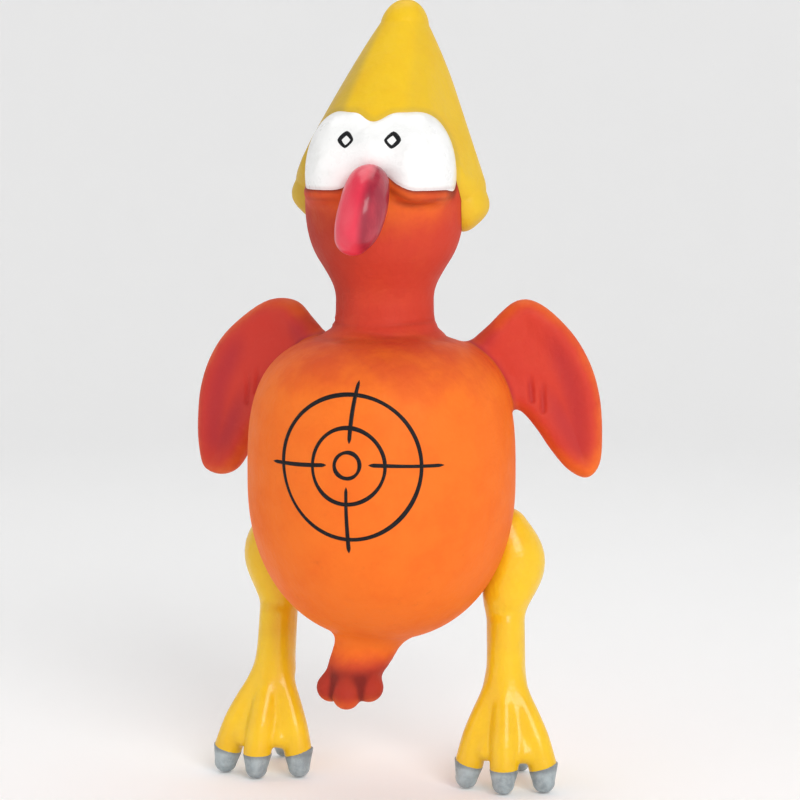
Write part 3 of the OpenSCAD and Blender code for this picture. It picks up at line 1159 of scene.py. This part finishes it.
def hand_drawn_ring(centre, r, width, phase, count=120):
    """A ring with the small wobble of a brush."""
    turn = np.arange(count) * math.tau / count
    radius = r * (1 + 0.012 * np.sin(2 * turn + phase) + 0.008 * np.sin(3 * turn + 2 * phase))
    path = np.array(centre) + np.column_stack([radius * np.sin(turn), radius * np.cos(turn)])
    return path, width * (1 + 0.12 * np.sin(turn * 2 + phase) + 0.08 * np.sin(5 * turn + phase))


def hand_drawn_bar(a, b, width, phase, count=28):
    """A slightly bent bar with narrow ends."""
    t = np.linspace(0, 1, count)
    across = np.array([-(b - a)[1], (b - a)[0]]) / np.linalg.norm(b - a)
    path = a + np.outer(t, b - a) + np.outer(0.25 * np.sin(3 * t + phase), across)
    ends = np.sqrt(np.clip(np.minimum(t, 1 - t) * 14, 0.02, 1))
    return path, width * ends * (1 + 0.12 * np.sin(4 * t + phase))


LINE_W = 1.2  # width of the target's lines
RINGS = (0.155, 0.45, 0.855)  # radii of the target's rings, as parts of its reach
BARS = ((0.09, 1, 0.99), (1, 0, 1.09), (0, -1, 1.06), (-1, -0.02, 1))  # X, Z and length of each bar
BAR_START = 0.26
target_shells = []
for k, r in enumerate(RINGS):
    ring = hand_drawn_ring((0.1 * k, TARGET_Z - 0.3 * k), r * TARGET_REACH, LINE_W, 1.3 * k)
    target_shells.append(painted_line(*ring, True, body_skin, -60, -10))
for k, (x, z, reach) in enumerate(BARS):
    ends = [vec(0, TARGET_Z) + vec(x, z) * TARGET_REACH * part for part in (BAR_START, reach)]
    bar = hand_drawn_bar(*ends, LINE_W, 2.1 * k)
    target_shells.append(painted_line(*bar, False, body_skin, -60, -10))
target_shell = merged(target_shells)
target_piece = make_piece("target_lines", target_shell, smooth_normals(capped(target_shell)[:2]), INK_PAINT)
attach(target_piece, "torso")
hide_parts("target_print")

PUPIL_X = 6.8  # of the left pupil, before the shift
PUPIL_Z = middle_z("pupils") - 1
PUPIL_R = 1.9
PUPIL_LINE_W = 1.15
pupil_shells = []
for sign, phase in ((1, 0.4), (-1, 2.2)):
    turn = np.arange(40) * math.tau / 40
    around = np.column_stack([np.sin(turn), np.cos(turn)])
    diamond = PUPIL_R * around / (np.abs(around) ** 1.25).sum(1)[:, None] ** 0.8
    ring = vec(PUPIL_X * sign + FACE_SHIFT[0], PUPIL_Z) + diamond
    width = PUPIL_LINE_W * (1 + 0.25 * np.sin(turn + phase))
    pupil_shells.append(painted_line(ring, width, True, eyes, -40, -8))
pupil_shell = merged(pupil_shells)
pupil_piece = make_piece("pupil_rings", pupil_shell, smooth_normals(pupil_shell), INK_PAINT)
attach(pupil_piece, "head")
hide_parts("pupils")

# ---- the CAD parts that stay ----

WOOL = plain_part("filling_fibre_wool", (0.80, 0.79, 0.75), (0.66, 0.65, 0.61), 0.9, 0.0006, depth=0.0004)
CUP_PLASTIC = plain_part("squeaker_plastic", (0.72, 0.71, 0.66), (0.62, 0.61, 0.57), 0.4, 0.0005)
RED_PLASTIC = plain_part("reed_holder_plastic", (0.45, 0.02, 0.02), (0.34, 0.015, 0.015), 0.3, 0.0004)
BRASS = plain_part("reed_metal", (0.72, 0.55, 0.24), (0.55, 0.42, 0.18), 0.3, 0.0003, metallic=1.0)
CAD_LOOKS = {"torso_filling": WOOL, "head_filling": WOOL, "squeaker_housing": CUP_PLASTIC,
             "squeaker_reed_holder": RED_PLASTIC, "squeaker_reed": BRASS}
for name, material in CAD_LOOKS.items():
    mesh = frame["nodes"][name].data
    mesh.materials.clear()
    mesh.materials.append(material)


# ---- camera, light and floor ----

def look_at(obj, point):
    obj.rotation_euler = (Vector(point) - obj.location).to_track_quat("-Z", "Y").to_euler()


VIEW_TURN = math.radians(14)  # the camera stands to the toy's left
VIEW_RISE = math.radians(7)
VIEW_DISTANCE = 0.8
VIEW_LENS = 123.1
VIEW_SIDEWAYS, VIEW_DOWN = 0.0054, 0.0009  # how far beside and below the toy's middle the camera aims
TOY_MIDDLE = Vector((0, 0, (cad_box[0].z + cad_box[1].z) / 2 - VIEW_DOWN))

camera = new_object("camera", bpy.data.cameras.new("camera"))
bpy.context.scene.camera = camera
right = Vector((math.cos(VIEW_TURN), math.sin(VIEW_TURN), 0))
front = Vector((math.sin(VIEW_TURN), -math.cos(VIEW_TURN), 0))
up = Vector((0, 0, 1))
aim = TOY_MIDDLE + right * VIEW_SIDEWAYS
camera.location = aim + VIEW_DISTANCE * (front * math.cos(VIEW_RISE) + up * math.sin(VIEW_RISE))
look_at(camera, aim)
camera.data.lens = VIEW_LENS

bpy.context.scene.view_settings.view_transform = "Standard"


def soft_light(name, place, size, power):
    lamp = bpy.data.lights.new(name, "AREA")
    lamp.shape = "RECTANGLE"
    lamp.size, lamp.size_y = size
    lamp.energy = power
    obj = new_object(name, lamp)
    obj.location = place
    obj.visible_camera = False
    look_at(obj, TOY_MIDDLE)


soft_light("key", (0.55, -0.75, 0.65), (0.5, 0.5), 5.4)
soft_light("fill", (-0.75, -0.55, 0.3), (0.7, 0.7), 0.8)
soft_light("top", (-0.1, 0.3, 0.95), (0.8, 0.6), 2.6)

world = bpy.data.worlds.new("studio")
bpy.context.scene.world = world
world.use_nodes = True
background = world.node_tree.nodes["Background"]
background.inputs["Color"].default_value = (1, 1, 1, 1)
background.inputs["Strength"].default_value = 0.24


def floor_bowl():
    """A pale round floor that curves up into a wall on every side."""
    inner, flat, radius, top = 0.3, 0.75, 0.5, 1.1
    around, steps = 96, 16
    profile = [(inner, 0.0), (flat, 0.0)]
    for k in range(1, steps + 1):
        turn = k / steps * math.pi / 2
        profile.append((flat + radius * math.sin(turn), radius - radius * math.cos(turn)))
    profile.append((flat + radius, top))
    points, faces = [], [list(range(around))]
    for r, z in profile:
        points += [(r * math.cos(a), r * math.sin(a), z) for a in np.arange(around) * math.tau / around]
    for k in range(len(profile) - 1):
        for i in range(around):
            j = (i + 1) % around
            faces.append([k * around + i, (k + 1) * around + i, (k + 1) * around + j, k * around + j])
    mesh = bpy.data.meshes.new("floor")
    mesh.from_pydata(points, [], faces)
    mesh.polygons.foreach_set("use_smooth", np.ones(len(faces), bool))
    look = Look("floor_paper", roughness=0.85, specular=0.2)
    look.set(look.shader, {"Emission Color": (1, 1, 1, 1), "Emission Strength": 0.1})
    place = look.add("ShaderNodeTexCoord").outputs["Object"]
    paper = look.mix(look.noise(0.05, 3, place=place), (0.93, 0.93, 0.93), (0.95, 0.95, 0.95))
    look.set(look.shader, {"Base Color": paper})
    mesh.materials.append(look.material)
    return new_object("floor", mesh)


floor_bowl()
